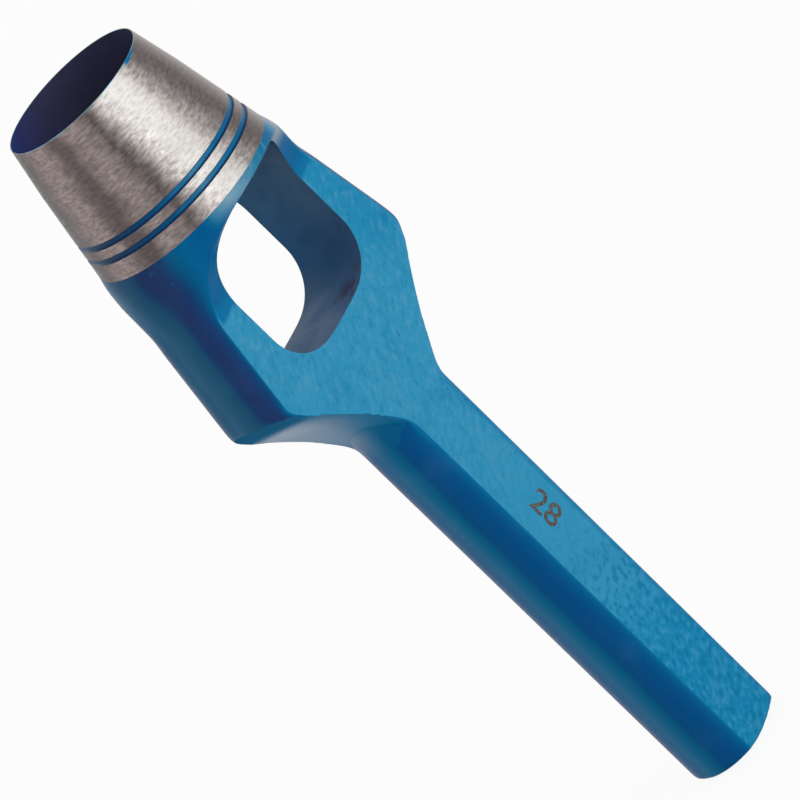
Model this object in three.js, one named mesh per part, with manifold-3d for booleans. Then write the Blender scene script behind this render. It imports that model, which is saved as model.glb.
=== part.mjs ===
// Hollow punch for cutting round holes and washers in leather, gasket and felt.
// The real tool is one forging, ground at its cutting end. It is modelled as its three
// sections, which meet face to face where its form and finish change:
//   cutting_crown  the ground cone with the cutting edge, its bore and two lacquer grooves
//   arch           the lacquered bow: rim, ramps, two legs beside the window, shoulders and neck
//   shank          the lacquered bar that is held in the hand, with its flats and struck face
// Millimetres. +Z runs up the axis from the struck face, which lies at Z = 0, to the cutting edge.
// The two flats face -Y and +Y, and X runs across their width.
import * as THREE from 'three';
import { mergeVertices } from 'three/addons/utils/BufferGeometryUtils.js';
import Module from 'manifold-3d';

const wasm = await Module();
wasm.setup();

// Driving dimensions. A depth is measured from the cutting edge towards the struck face.
const LENGTH = 159.5;

// Cutting crown
const CUT_DIAMETER = 28;            // hole that the tool cuts
const EDGE_LAND = 0.15;             // flat that whetting leaves on the edge
const CROWN_LENGTH = 25.5;          // edge to lacquer line
const CROWN_BASE_DIAMETER = 36.9;   // outside, at the lacquer line
const GROOVE_WIDTH = 1.1;
const GROOVE_DEPTH = 0.45;
const GROOVE_PITCH = 2.7;
const BASE_BAND_WIDTH = 3.35;       // ground band between the second groove and the lacquer

// Bore: a relieved cone behind the edge, a throat that closes a little towards the window, and
// a blind end with a rounded bottom. It is wider than the blade is thick, so it breaks out
// through both flats as the window.
const RELIEF_LENGTH = 29;
const RELIEF_WALL = 1.45;           // from the crown's base radius in to the relief's widest
const THROAT_LENGTH = 10;
const THROAT_STEP = 0.65;           // what the throat takes off the bore's radius
const BORE_DEPTH = 57.4;
const BORE_BOTTOM_RADIUS = 8.5;

// Arch
const BLADE_THICKNESS = 14.7;       // across the flats
const RIM_WIDTH = 1.1;              // round lacquered rim before the ramps
const RAMP_RADIUS = 13.4;           // hollow ramp from the rim down to each flat
const RAMP_END_WIDTH = 47.8;        // across the legs where the ramps run out
const SHOULDER_WIDTH = 54.8;        // across the legs at the shoulders' depth
const LEG_SIDE_RADIUS = 9.1;        // rounding of the legs' outer sides
const SHOULDER_DEPTH = 58.7;        // shoulder corner on the flats
const NECK_END_DEPTH = 78.4;

// Shank
const SHANK_NECK_WIDTH = 18.7;
const SHANK_END_WIDTH = 18.2;
const SHANK_SIDE_RADIUS = 9.6;
const DOME_RADIUS = 27;             // the struck end is slightly domed
const STRUCK_FACE_DIAMETER = 9;     // flat left in the middle of the dome

// The neck's hollow curve bends towards this point, as shares of its width and its length.
const NECK_BEND_SHARES = { width: 0.25, length: 0.54 };

// The legs' sides are fully rounded at this share of the ramps' length.
const SIDE_BLEND_SHARE = 0.85;

// Small shared values
const OVERRUN = 1;                  // how far a cutting tool runs past what it cuts
const TURN_SEGMENTS = 96;
const RAMP_SEGMENTS = 14;
const SIDE_SEGMENTS = 24;
const NECK_SEGMENTS = 16;
const BLEND_SEGMENTS = 14;
const THROAT_SEGMENTS = 6;
const DOME_SEGMENTS = 6;

// Sizes that follow from them
const reliefRadius = CROWN_BASE_DIAMETER / 2 - RELIEF_WALL;
const windowRadius = reliefRadius - THROAT_STEP;
const halfBlade = BLADE_THICKNESS / 2;
const rimEndDepth = CROWN_LENGTH + RIM_WIDTH;
const rampEndDepth = rimEndDepth + RAMP_RADIUS;
const heightAt = (depth) => LENGTH - depth;

const mix = (from, to, share) => from + (to - from) * share;
const smooth = (share) => share * share * (3 - 2 * share);

// Outside radius of the cone, which the rim carries on.
function coneRadius(depth) {
  return mix(CUT_DIAMETER, CROWN_BASE_DIAMETER, depth / CROWN_LENGTH) / 2;
}

// Radius of the bore's relieved length.
function boreRadius(depth) {
  return mix(CUT_DIAMETER / 2 - EDGE_LAND, reliefRadius, depth / RELIEF_LENGTH);
}

// Half the width across the legs, measured at mid thickness.
function legHalfWidth(depth) {
  const share = (depth - rampEndDepth) / (SHOULDER_DEPTH - rampEndDepth);
  return mix(RAMP_END_WIDTH, SHOULDER_WIDTH, share) / 2;
}

// Half the width of a flat whose sides are arcs that stand out to halfWidth.
function flatHalfWidth(halfWidth, sideRadius) {
  return halfWidth - sideRadius + Math.sqrt(sideRadius ** 2 - halfBlade ** 2);
}

// One cross-section: two side arcs joined by straight front and back lines.
function ring({ height, halfWidth, sideRadius, halfThickness }) {
  const reach = Math.asin(Math.min(1, halfThickness / sideRadius));
  const centre = halfWidth - sideRadius;
  const points = [];
  for (const side of [1, -1]) {
    for (let i = 0; i <= SIDE_SEGMENTS; i += 1) {
      const angle = mix(-reach, reach, i / SIDE_SEGMENTS);
      const x = centre + sideRadius * Math.cos(angle);
      points.push(new THREE.Vector3(side * x, side * sideRadius * Math.sin(angle), height));
    }
  }
  return points;
}

// A closed skin through rings of equal count, given from the lowest to the highest.
function loft(rings) {
  const count = rings[0].length;
  const positions = rings.flat().flatMap((point) => point.toArray());
  const indices = [];
  for (let level = 0; level + 1 < rings.length; level += 1) {
    for (let i = 0; i < count; i += 1) {
      const a = level * count + i;
      const b = level * count + (i + 1) % count;
      indices.push(a, b, b + count, a, b + count, a + count);
    }
  }
  const top = (rings.length - 1) * count;
  for (let i = 1; i + 1 < count; i += 1) {
    indices.push(0, i + 1, i, top, top + i, top + i + 1);
  }
  const geometry = new THREE.BufferGeometry();
  geometry.setAttribute('position', new THREE.Float32BufferAttribute(positions, 3));
  geometry.setIndex(indices);
  return geometry;
}

// A turned body about Z. Its profile is [radius, depth] pairs.
function turned(profile) {
  const points = profile.map(([radius, depth]) => new THREE.Vector2(radius, heightAt(depth)));
  return new THREE.LatheGeometry(points, TURN_SEGMENTS).rotateX(Math.PI / 2);
}

function toSolid(geometry) {
  const bare = geometry.clone();
  bare.deleteAttribute('normal');
  bare.deleteAttribute('uv');
  const merged = mergeVertices(bare);
  const triangles = [];
  const index = merged.index.array;
  for (let i = 0; i < index.length; i += 3) {
    const corners = [index[i], index[i + 1], index[i + 2]];
    if (new Set(corners).size === corners.length) triangles.push(...corners);
  }
  return new wasm.Manifold(new wasm.Mesh({
    numProp: 3,
    vertProperties: new Float32Array(merged.attributes.position.array),
    triVerts: new Uint32Array(triangles),
  }));
}

function toGeometry(solid) {
  const mesh = solid.getMesh();
  const geometry = new THREE.BufferGeometry();
  geometry.setAttribute('position', new THREE.BufferAttribute(mesh.vertProperties, 3));
  geometry.setIndex(new THREE.BufferAttribute(mesh.triVerts, 1));
  return geometry;
}

// Cutting crown: a turned ring whose profile runs up the outside and back down the bore.
function cuttingCrown() {
  const profile = [[CUT_DIAMETER / 2, 0]];
  const rearGrooveEnd = CROWN_LENGTH - BASE_BAND_WIDTH;
  for (const grooveEnd of [rearGrooveEnd - GROOVE_PITCH, rearGrooveEnd]) {
    const grooveStart = grooveEnd - GROOVE_WIDTH;
    profile.push([coneRadius(grooveStart), grooveStart]);
    profile.push([coneRadius(grooveStart) - GROOVE_DEPTH, grooveStart]);
    profile.push([coneRadius(grooveEnd) - GROOVE_DEPTH, grooveEnd]);
    profile.push([coneRadius(grooveEnd), grooveEnd]);
  }
  profile.push([coneRadius(CROWN_LENGTH), CROWN_LENGTH]);
  profile.push([boreRadius(CROWN_LENGTH), CROWN_LENGTH]);
  profile.push([boreRadius(0), 0]);
  profile.push([CUT_DIAMETER / 2, 0]);
  return turned(profile.reverse());
}

// The bore as a solid tool, from in front of the edge to its rounded bottom.
function boreTool() {
  const bottomCentre = BORE_DEPTH - BORE_BOTTOM_RADIUS;
  const profile = [[0, -OVERRUN], [boreRadius(-OVERRUN), -OVERRUN]];
  for (let i = 0; i <= THROAT_SEGMENTS; i += 1) {
    const share = i / THROAT_SEGMENTS;
    profile.push([
      mix(reliefRadius, windowRadius, smooth(share)),
      RELIEF_LENGTH + THROAT_LENGTH * share,
    ]);
  }
  for (let i = 0; i <= RAMP_SEGMENTS; i += 1) {
    const angle = (i / RAMP_SEGMENTS) * Math.PI / 2;
    profile.push([
      windowRadius - BORE_BOTTOM_RADIUS * (1 - Math.cos(angle)),
      bottomCentre + BORE_BOTTOM_RADIUS * Math.sin(angle),
    ]);
  }
  profile.push([0, BORE_DEPTH]);
  return toSolid(turned(profile.reverse()));
}

// The arch before its flats, ramps and bore: a round rim that spreads into two rounded legs.
function archBlank() {
  const depths = [CROWN_LENGTH];
  for (let i = 0; i <= BLEND_SEGMENTS; i += 1) {
    depths.push(mix(rimEndDepth, rampEndDepth, i / BLEND_SEGMENTS));
  }
  depths.push(NECK_END_DEPTH);
  const rings = depths.reverse().map((depth) => {
    const along = (depth - rimEndDepth) / RAMP_RADIUS;
    const widthShare = smooth(THREE.MathUtils.clamp(along, 0, 1));
    const sideShare = smooth(THREE.MathUtils.clamp(along / SIDE_BLEND_SHARE, 0, 1));
    const sideRadius = mix(coneRadius(depth), LEG_SIDE_RADIUS, sideShare);
    return ring({
      height: heightAt(depth),
      halfWidth: mix(coneRadius(depth), legHalfWidth(depth), widthShare),
      sideRadius,
      halfThickness: sideRadius,
    });
  });
  return toSolid(loft(rings));
}

// What the shoulders and the neck leave of the blank, seen from the front.
function neckOutline() {
  const shoulder = {
    x: flatHalfWidth(legHalfWidth(SHOULDER_DEPTH), LEG_SIDE_RADIUS),
    depth: SHOULDER_DEPTH,
  };
  const end = { x: flatHalfWidth(SHANK_NECK_WIDTH / 2, SHANK_SIDE_RADIUS), depth: NECK_END_DEPTH };
  const bend = {
    x: mix(end.x, shoulder.x, NECK_BEND_SHARES.width),
    depth: mix(shoulder.depth, end.depth, NECK_BEND_SHARES.length),
  };
  // The shoulder's face runs on outwards until it is clear of the rounded sides.
  const outside = legHalfWidth(NECK_END_DEPTH) + OVERRUN;
  const slope = (bend.depth - shoulder.depth) / (shoulder.x - bend.x);
  const outer = { x: outside, depth: shoulder.depth - slope * (outside - shoulder.x) };

  const shape = new THREE.Shape();
  shape.moveTo(outside, heightAt(CROWN_LENGTH));
  shape.lineTo(-outside, heightAt(CROWN_LENGTH));
  shape.lineTo(-outer.x, heightAt(outer.depth));
  shape.lineTo(-shoulder.x, heightAt(shoulder.depth));
  shape.quadraticCurveTo(-bend.x, heightAt(bend.depth), -end.x, heightAt(end.depth));
  shape.lineTo(end.x, heightAt(end.depth));
  shape.quadraticCurveTo(bend.x, heightAt(bend.depth), shoulder.x, heightAt(shoulder.depth));
  shape.lineTo(outer.x, heightAt(outer.depth));
  return shape;
}

// A shape drawn in X and height, given a thickness from front to back.
function thickened(shape, thickness) {
  const options = { depth: thickness, bevelEnabled: false, curveSegments: NECK_SEGMENTS };
  return new THREE.ExtrudeGeometry(shape, options)
    .translate(0, 0, -thickness / 2)
    .rotateX(Math.PI / 2);
}

// What is cut away in front of a flat: straight beside the blade, hollow along the ramp.
function flatTool(side) {
  const outside = halfBlade + RAMP_RADIUS + OVERRUN;
  const centre = { y: halfBlade + RAMP_RADIUS, z: heightAt(rampEndDepth) };
  const shape = new THREE.Shape();
  shape.moveTo(halfBlade, heightAt(NECK_END_DEPTH) - OVERRUN);
  shape.lineTo(outside, heightAt(NECK_END_DEPTH) - OVERRUN);
  shape.lineTo(outside, heightAt(rimEndDepth));
  for (let i = 0; i <= RAMP_SEGMENTS; i += 1) {
    const angle = Math.PI / 2 + (i / RAMP_SEGMENTS) * Math.PI / 2;
    shape.lineTo(centre.y + RAMP_RADIUS * Math.cos(angle), centre.z + RAMP_RADIUS * Math.sin(angle));
  }
  const width = SHOULDER_WIDTH + legHalfWidth(NECK_END_DEPTH) + OVERRUN;
  const geometry = new THREE.ExtrudeGeometry(shape, { depth: width, bevelEnabled: false });
  geometry.translate(0, 0, -width / 2).rotateX(Math.PI / 2).rotateZ(Math.PI / 2);
  return toSolid(side > 0 ? geometry : geometry.rotateZ(Math.PI));
}

// The bar's cross-section, which the neck runs into and the shank carries on.
function barRing(depth, halfThickness) {
  const share = (depth - NECK_END_DEPTH) / (LENGTH - NECK_END_DEPTH);
  return ring({
    height: heightAt(depth),
    halfWidth: mix(SHANK_NECK_WIDTH, SHANK_END_WIDTH, share) / 2,
    sideRadius: SHANK_SIDE_RADIUS,
    halfThickness,
  });
}

function arch() {
  const rimThickness = 2 * coneRadius(rimEndDepth);
  const outline = toSolid(thickened(neckOutline(), rimThickness + OVERRUN));
  const proud = Math.min(halfBlade + OVERRUN, SHANK_SIDE_RADIUS);
  const bar = toSolid(loft([barRing(NECK_END_DEPTH, proud), barRing(SHOULDER_DEPTH, proud)]));
  return archBlank()
    .intersect(outline)
    .add(bar)
    .subtract(flatTool(1))
    .subtract(flatTool(-1))
    .subtract(boreTool());
}

// What a domed end leaves of the bar: a round body whose lower end is part of a sphere.
function domeTool() {
  const faceRadius = STRUCK_FACE_DIAMETER / 2;
  const reach = SHANK_NECK_WIDTH / 2 + OVERRUN;
  const centreDepth = LENGTH - Math.sqrt(DOME_RADIUS ** 2 - faceRadius ** 2);
  const profile = [[0, LENGTH]];
  for (let i = 0; i <= DOME_SEGMENTS; i += 1) {
    const radius = mix(faceRadius, reach, i / DOME_SEGMENTS);
    profile.push([radius, centreDepth + Math.sqrt(DOME_RADIUS ** 2 - radius ** 2)]);
  }
  profile.push([reach, NECK_END_DEPTH - OVERRUN], [0, NECK_END_DEPTH - OVERRUN]);
  return toSolid(turned(profile));
}

// Shank: the bar from the neck to the struck face.
function shank() {
  const bar = loft([barRing(LENGTH + OVERRUN, halfBlade), barRing(NECK_END_DEPTH, halfBlade)]);
  return toSolid(bar).intersect(domeTool());
}

const groundSteel = new THREE.MeshStandardMaterial({
  color: 0x9a928c, roughness: 0.38, metalness: 0.9,
});
const blueLacquer = new THREE.MeshStandardMaterial({
  color: 0x1f78a8, roughness: 0.35, metalness: 0.25,
});

function named(name, geometry, material) {
  const mesh = new THREE.Mesh(geometry, material);
  mesh.name = name;
  return mesh;
}

const hollowPunch = new THREE.Group();
hollowPunch.name = 'hollow_punch';
hollowPunch.add(
  named('cutting_crown', cuttingCrown(), groundSteel),
  named('arch', toGeometry(arch()), blueLacquer),
  named('shank', toGeometry(shank()), blueLacquer),
);

export default hollowPunch;
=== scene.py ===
"""Hollow punch: a ground cutting crown on a blue lacquered forging, set up for a studio picture.

Sizes are in millimetres while a piece is shaped, and each finished piece is scaled to metres.
Z runs up the axis from the struck face, at 0, to the cutting edge. The flats face -Y and +Y.
A depth is measured from the cutting edge towards the struck face. Finishes work in metres.
"""

from __future__ import annotations

import logging
import math
from collections.abc import Callable, Sequence
from dataclasses import dataclass
from enum import Enum

import bmesh
import bpy
from mathutils import Matrix, Vector


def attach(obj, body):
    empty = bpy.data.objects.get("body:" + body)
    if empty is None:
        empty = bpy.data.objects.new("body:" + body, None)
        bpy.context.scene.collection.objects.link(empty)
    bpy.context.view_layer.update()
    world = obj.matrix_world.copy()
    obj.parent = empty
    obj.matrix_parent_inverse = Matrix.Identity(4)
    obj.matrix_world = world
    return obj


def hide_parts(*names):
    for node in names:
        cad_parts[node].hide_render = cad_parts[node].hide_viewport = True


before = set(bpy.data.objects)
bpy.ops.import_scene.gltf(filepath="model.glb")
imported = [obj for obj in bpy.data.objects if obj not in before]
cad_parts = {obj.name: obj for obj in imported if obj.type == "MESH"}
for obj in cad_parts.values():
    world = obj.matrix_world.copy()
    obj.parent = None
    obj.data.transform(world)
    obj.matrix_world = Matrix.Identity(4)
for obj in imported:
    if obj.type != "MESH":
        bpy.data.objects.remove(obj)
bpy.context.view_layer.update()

LOG = logging.getLogger("hollow_punch")
TO_METRES = 0.001
WELD = 0.0005
NEAR = 0.001

Piece = bpy.types.Object
Socket = bpy.types.NodeSocket
Material = bpy.types.Material
Point = tuple[float, float, float]
Colour = tuple[float, float, float]
Station = tuple[float, float]
Stops = tuple[tuple[float, Colour], ...]
Wanted = Callable[[Vector, Vector], bool]


class Cut(Enum):
    """How a tool solid changes the body that it is set against."""

    TAKE_AWAY = "DIFFERENCE"
    JOIN = "UNION"


class Element(Enum):
    """What a selection in edit mode is made of."""

    VERTEX = "VERT"
    FACE = "FACE"


def smooth_step(share: float) -> float:
    """Returns a share eased at both of its ends."""
    share = min(1.0, max(0.0, share))
    return share * share * (3 - 2 * share)


def mix(start: float, end: float, share: float) -> float:
    """Returns the value at a share of the way from start to end."""
    return start + (end - start) * share


def srgb(*colour: float) -> Colour:
    """Turns a colour written as 0 to 255 into the linear colour that shaders take."""
    shares = [value / 255 for value in colour]
    return tuple(s / 12.92 if s <= 0.04045 else ((s + 0.055) / 1.055) ** 2.4 for s in shares)


def stops(*rows: tuple[float, float, float, float]) -> Stops:
    """Makes colour stops of rows that hold a place and a colour written as 0 to 255."""
    return tuple((place, srgb(*colour)) for place, *colour in rows)


@dataclass(frozen=True)
class Forging:
    """Sizes that more than one section of the punch follows."""

    length: float = 159.5
    cut_radius: float = 14.0
    edge_land: float = 0.15
    crown_length: float = 25.5
    crown_base_radius: float = 18.45
    relief_length: float = 29.0
    relief_radius: float = 17.0
    throat_length: float = 10.0
    window_radius: float = 16.35
    bore_depth: float = 57.4
    bore_bottom_radius: float = 8.5
    half_blade: float = 7.35
    ramp_start: float = 26.6
    ramp_radius: float = 13.4
    leg_top_half_width: float = 23.9
    shoulder_half_width: float = 27.4
    shoulder_depth: float = 58.7
    neck_end_depth: float = 78.4

    @property
    def ramp_end(self) -> float:
        """Depth at which the ramps run out on the flats."""
        return self.ramp_start + self.ramp_radius

    def height(self, depth: float) -> float:
        """Height above the struck face at a depth."""
        return self.length - depth

    def metres(self, depth: float) -> float:
        """Height above the struck face at a depth, in metres."""
        return self.height(depth) * TO_METRES

    def depth(self, place: Vector) -> float:
        """Depth at which a place lies."""
        return self.length - place.z

    def cone_radius(self, depth: float) -> float:
        """Outside radius of the cone, which the rim carries on."""
        return mix(self.cut_radius, self.crown_base_radius, depth / self.crown_length)

    def bore_radius(self, depth: float) -> float:
        """Radius of the bore's relieved length."""
        share = depth / self.relief_length
        return mix(self.cut_radius - self.edge_land, self.relief_radius, share)

    def leg_half_width(self, depth: float) -> float:
        """Half the width across the legs at mid thickness."""
        share = (depth - self.ramp_end) / (self.shoulder_depth - self.ramp_end)
        return mix(self.leg_top_half_width, self.shoulder_half_width, share)


FORGING = Forging()


def deselect_all() -> None:
    """Leaves edit mode and leaves nothing selected."""
    active = bpy.context.view_layer.objects.active
    if active is not None and active.mode != "OBJECT":
        bpy.ops.object.mode_set(mode="OBJECT")
    bpy.ops.object.select_all(action="DESELECT")


def take_up(piece: Piece) -> None:
    """Makes one piece the only selected one, and the active one."""
    deselect_all()
    piece.select_set(True)
    bpy.context.view_layer.objects.active = piece


def start_editing(piece: Piece) -> None:
    """Opens a piece in edit mode with its whole mesh selected."""
    take_up(piece)
    bpy.ops.object.mode_set(mode="EDIT")
    bpy.ops.mesh.select_all(action="SELECT")


def stop_editing() -> None:
    """Goes back to object mode."""
    bpy.ops.object.mode_set(mode="OBJECT")


def pick(piece: Piece, element: Element, wanted: Wanted) -> None:
    """Selects the parts of the edited mesh whose place and normal fit.

    Args:
        piece: The piece, open in edit mode.
        element: Vertices or faces.
        wanted: Says of a place and a normal whether that element is wanted.
    """
    bpy.ops.mesh.select_mode(type=element.value)
    bpy.ops.mesh.select_all(action="DESELECT")
    mesh = bmesh.from_edit_mesh(piece.data)
    if element is Element.FACE:
        for face in mesh.faces:
            if wanted(face.calc_center_median(), face.normal):
                face.select_set(True)
    else:
        for vertex in mesh.verts:
            if wanted(vertex.co, vertex.normal):
                vertex.select_set(True)
    bmesh.update_edit_mesh(piece.data)


def extrude(*step: float) -> None:
    """Extrudes the selected region in edit mode and moves it by a step."""
    bpy.ops.mesh.extrude_region_move(TRANSFORM_OT_translate={"value": step})


def weld() -> None:
    """Merges the selected vertices that lie on each other."""
    bpy.ops.mesh.remove_doubles(threshold=WELD)


def face_outwards() -> None:
    """Turns all normals of the edited mesh outwards."""
    bpy.ops.mesh.select_all(action="SELECT")
    bpy.ops.mesh.normals_make_consistent(inside=False)


def name_piece(piece: Piece, name: str) -> Piece:
    """Names a piece and its mesh, and puts its origin at the frame's origin."""
    piece.name = name
    piece.data.name = name
    bpy.ops.object.transform_apply(location=True, rotation=True, scale=True)
    return piece


def combine(body: Piece, tool: Piece, how: Cut) -> None:
    """Cuts or joins a body with a tool solid, which is used up."""
    apply_modifier(body, "BOOLEAN", operation=how.value, solver="EXACT", object=tool)
    bpy.data.objects.remove(tool)


def apply_modifier(piece: Piece, kind: str, **settings: object) -> None:
    """Adds one modifier to a piece with these settings and applies it."""
    take_up(piece)
    modifier = piece.modifiers.new(kind.lower(), kind)
    for key, value in settings.items():
        setattr(modifier, key, value)
    bpy.ops.object.modifier_apply(modifier=modifier.name)


def turn_profile(name: str, stations: Sequence[Station], sides: int, hollow: bool) -> Piece:
    """Grows a turned body from a circle, one extrusion for each station of its profile.

    Args:
        name: The piece's name.
        stations: Radius and height of each ring, from the first to the last.
        sides: How many sides a ring has.
        hollow: Whether the profile closes on itself round a hole. If not, both ends are capped.

    Returns:
        The closed body.
    """
    deselect_all()
    radius, height = stations[0]
    bpy.ops.mesh.primitive_circle_add(
        vertices=sides,
        radius=radius,
        fill_type="NOTHING" if hollow else "NGON",
        location=(0, 0, height),
    )
    piece = name_piece(bpy.context.object, name)
    start_editing(piece)
    for next_radius, next_height in stations[1:]:
        extrude(0, 0, next_height - height)
        share = next_radius / radius
        bpy.ops.transform.resize(value=(share, share, 1), center_override=(0, 0, next_height))
        radius, height = next_radius, next_height
    bpy.ops.mesh.select_all(action="SELECT")
    weld()
    face_outwards()
    stop_editing()
    return piece


def lay_finishes(piece: Piece, finishes: Sequence[Material], *rules: Wanted) -> None:
    """Covers a piece with the first finish, and the faces that fit each rule with the next.

    Args:
        piece: The piece.
        finishes: One finish more than there are rules.
        rules: Each says of a face's place and normal whether its finish goes there.
    """
    piece.data.materials.clear()
    for finish in finishes:
        piece.data.materials.append(finish)
    start_editing(piece)
    for number, wanted in enumerate(rules, 1):
        pick(piece, Element.FACE, wanted)
        piece.active_material_index = number
        bpy.ops.object.material_slot_assign()
    stop_editing()


def finish_mesh(piece: Piece, smooth_angle: float) -> None:
    """Scales a finished piece to metres and shades it smooth below an angle in degrees."""
    take_up(piece)
    piece.scale = (TO_METRES, TO_METRES, TO_METRES)
    bpy.ops.object.transform_apply(location=True, rotation=True, scale=True)
    bpy.ops.object.shade_smooth_by_angle(angle=math.radians(smooth_angle))


def mount_piece(piece: Piece, slot: str, *nodes: str) -> None:
    """Lets a piece ride on the part's body and stand for its CAD nodes."""
    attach(piece, "root")
    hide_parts(*nodes)
    LOG.info("%s: %d faces, slot %s", piece.name, len(piece.data.polygons), slot)


class NodeTree:
    """Writes one material as nodes, with short calls for the nodes that finishes share."""

    def __init__(self, name: str) -> None:
        """Starts an empty material with a principled shader on its output."""
        self.material = bpy.data.materials.new(name)
        self.material.use_nodes = True
        self.tree = self.material.node_tree
        self.tree.nodes.clear()
        self.shader = self.add("BsdfPrincipled")
        self.add("OutputMaterial", Surface=self.shader.outputs["BSDF"])
        self.place = self.add("TexCoord").outputs["Object"]
        self.x, self.y, self.z = self.add("SeparateXYZ", Vector=self.place).outputs

    def feed(self, socket: Socket, value: object) -> None:
        """Gives a socket a link, a number or a colour."""
        if isinstance(value, Socket):
            self.tree.links.new(value, socket)
        elif isinstance(value, tuple) and len(value) == 3 and socket.type == "RGBA":
            socket.default_value = (*value, 1)
        else:
            socket.default_value = value

    def add(self, kind: str, **inputs: object) -> bpy.types.Node:
        """Adds a node and feeds the sockets named, with underscores for spaces."""
        node = self.tree.nodes.new("ShaderNode" + kind)
        for key, value in inputs.items():
            self.feed(node.inputs[key.replace("_", " ")], value)
        return node

    def finish(self, colour: Socket, gloss: Socket, relief: Socket, **fixed: float) -> Material:
        """Ends the material.

        Args:
            colour: The shader's colour.
            gloss: Its roughness.
            relief: Its normal.
            fixed: Its constant sockets, named with underscores for spaces.

        Returns:
            The material.
        """
        inputs = {"Base Color": colour, "Roughness": gloss, "Normal": relief, **fixed}
        for key, value in inputs.items():
            self.feed(self.shader.inputs[key.replace("_", " ")], value)
        return self.material

    def noise(
        self,
        scale: float,
        detail: float = 2,
        stretch: Point = (1, 1, 1),
        seed: float = 0,
        turned: float = 0,
    ) -> Socket:
        """A noise pattern from 0 to 1 about 0.5.

        Args:
            scale: Cells to the metre.
            detail: Octaves of finer noise.
            stretch: Scale on each axis before the noise.
            seed: Picks another field of the same kind.
            turned: Angle in degrees by which the pattern is turned about Y.

        Returns:
            The pattern's value.
        """
        place = self.add("Mapping", Vector=self.place, Rotation=(0, math.radians(turned), 0))
        place = self.add("Mapping", Vector=place.outputs["Vector"], Scale=stretch)
        node = self.add(
            "TexNoise", Vector=place.outputs["Vector"], Scale=scale, Detail=detail
        )
        node.noise_dimensions = "4D"
        node.inputs["W"].default_value = seed
        return node.outputs["Fac"]

    def turn(self) -> Socket:
        """Place round the axis in degrees, from 0 at -X through -Y at 90 and back to 360."""
        return self.plus(self.times(self.math("ARCTAN2", self.y, self.x), 180 / math.pi), 180.0)

    def facing(self) -> Sequence[Socket]:
        """The surface normal's three parts."""
        normal = self.add("NewGeometry").outputs["Normal"]
        return list(self.add("SeparateXYZ", Vector=normal).outputs)

    def math(self, operation: str, first: object, second: object = 0.0) -> Socket:
        """One sum on two values."""
        node = self.add("Math")
        node.operation = operation
        self.feed(node.inputs[0], first)
        self.feed(node.inputs[1], second)
        return node.outputs[0]

    def plus(self, first: object, second: object) -> Socket:
        """The first value with the second added."""
        return self.math("ADD", first, second)

    def minus(self, first: object, second: object) -> Socket:
        """The first value less the second."""
        return self.math("SUBTRACT", first, second)

    def times(self, first: object, *others: object) -> Socket:
        """The values multiplied with each other."""
        for other in others:
            first = self.math("MULTIPLY", first, other)
        return first

    def remap(
        self, value: object, low: float, high: float, to_low: float = 0, to_high: float = 1
    ) -> Socket:
        """A value mapped smoothly from one range to another and held at its ends.

        Args:
            value: What is mapped.
            low: Input that gives to_low.
            high: Input that gives to_high.
            to_low: Output at the low end.
            to_high: Output at the high end.

        Returns:
            The mapped value.
        """
        node = self.add("MapRange", Value=value, From_Min=low, From_Max=high)
        self.feed(node.inputs["To Min"], to_low)
        self.feed(node.inputs["To Max"], to_high)
        node.interpolation_type = "SMOOTHSTEP"
        return node.outputs["Result"]

    def spread(self, pattern: Socket, low: float, high: float) -> Socket:
        """A noise pattern spread from low to high."""
        return self.remap(pattern, 0.3, 0.7, low, high)

    def blend(self, share: object, first: object, second: object) -> Socket:
        """Two colours mixed by a share: 0 gives the first, 1 the second."""
        node = self.add("Mix")
        node.data_type = "RGBA"
        self.feed(node.inputs["Factor"], share)
        colours = [socket for socket in node.inputs if socket.type == "RGBA"]
        for socket, colour in zip(colours, (first, second)):
            self.feed(socket, colour)
        return [socket for socket in node.outputs if socket.type == "RGBA"][0]

    def ramp(self, value: Socket, row: Stops) -> Socket:
        """A colour picked along a row of stops.

        Args:
            value: Place along the row, in the stops' own measure.
            row: Place and colour of each stop, in order. There are 32 of them at most.

        Returns:
            The colour.
        """
        node = self.add("ValToRGB")
        low, high = row[0][0], row[-1][0]
        elements = node.color_ramp.elements
        while len(elements) < len(row):
            elements.new(0.5)
        for element, (position, colour) in zip(elements, row):
            element.position = (position - low) / (high - low)
            element.color = (*colour, 1)
        self.feed(node.inputs["Fac"], self.math("DIVIDE", self.minus(value, low), high - low))
        return node.outputs["Color"]

    def scaled(self, colour: Socket, factor: Socket) -> Socket:
        """A colour made lighter or darker by a factor."""
        node = self.add("VectorMath")
        node.operation = "SCALE"
        self.feed(node.inputs[0], colour)
        self.feed(node.inputs["Scale"], factor)
        return node.outputs["Vector"]

    def bump(
        self, height: Socket, distance: float, strength: float, under: Socket | None = None
    ) -> Socket:
        """A surface normal with relief.

        Args:
            height: Pattern from 0 to 1.
            distance: Height of a full step in metres.
            strength: Share of the relief that shows.
            under: Normal from another bump that this one lies on.

        Returns:
            The normal.
        """
        node = self.add("Bump", Strength=strength, Distance=distance, Height=height)
        if under is not None:
            self.feed(node.inputs["Normal"], under)
        return node.outputs["Normal"]


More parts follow.
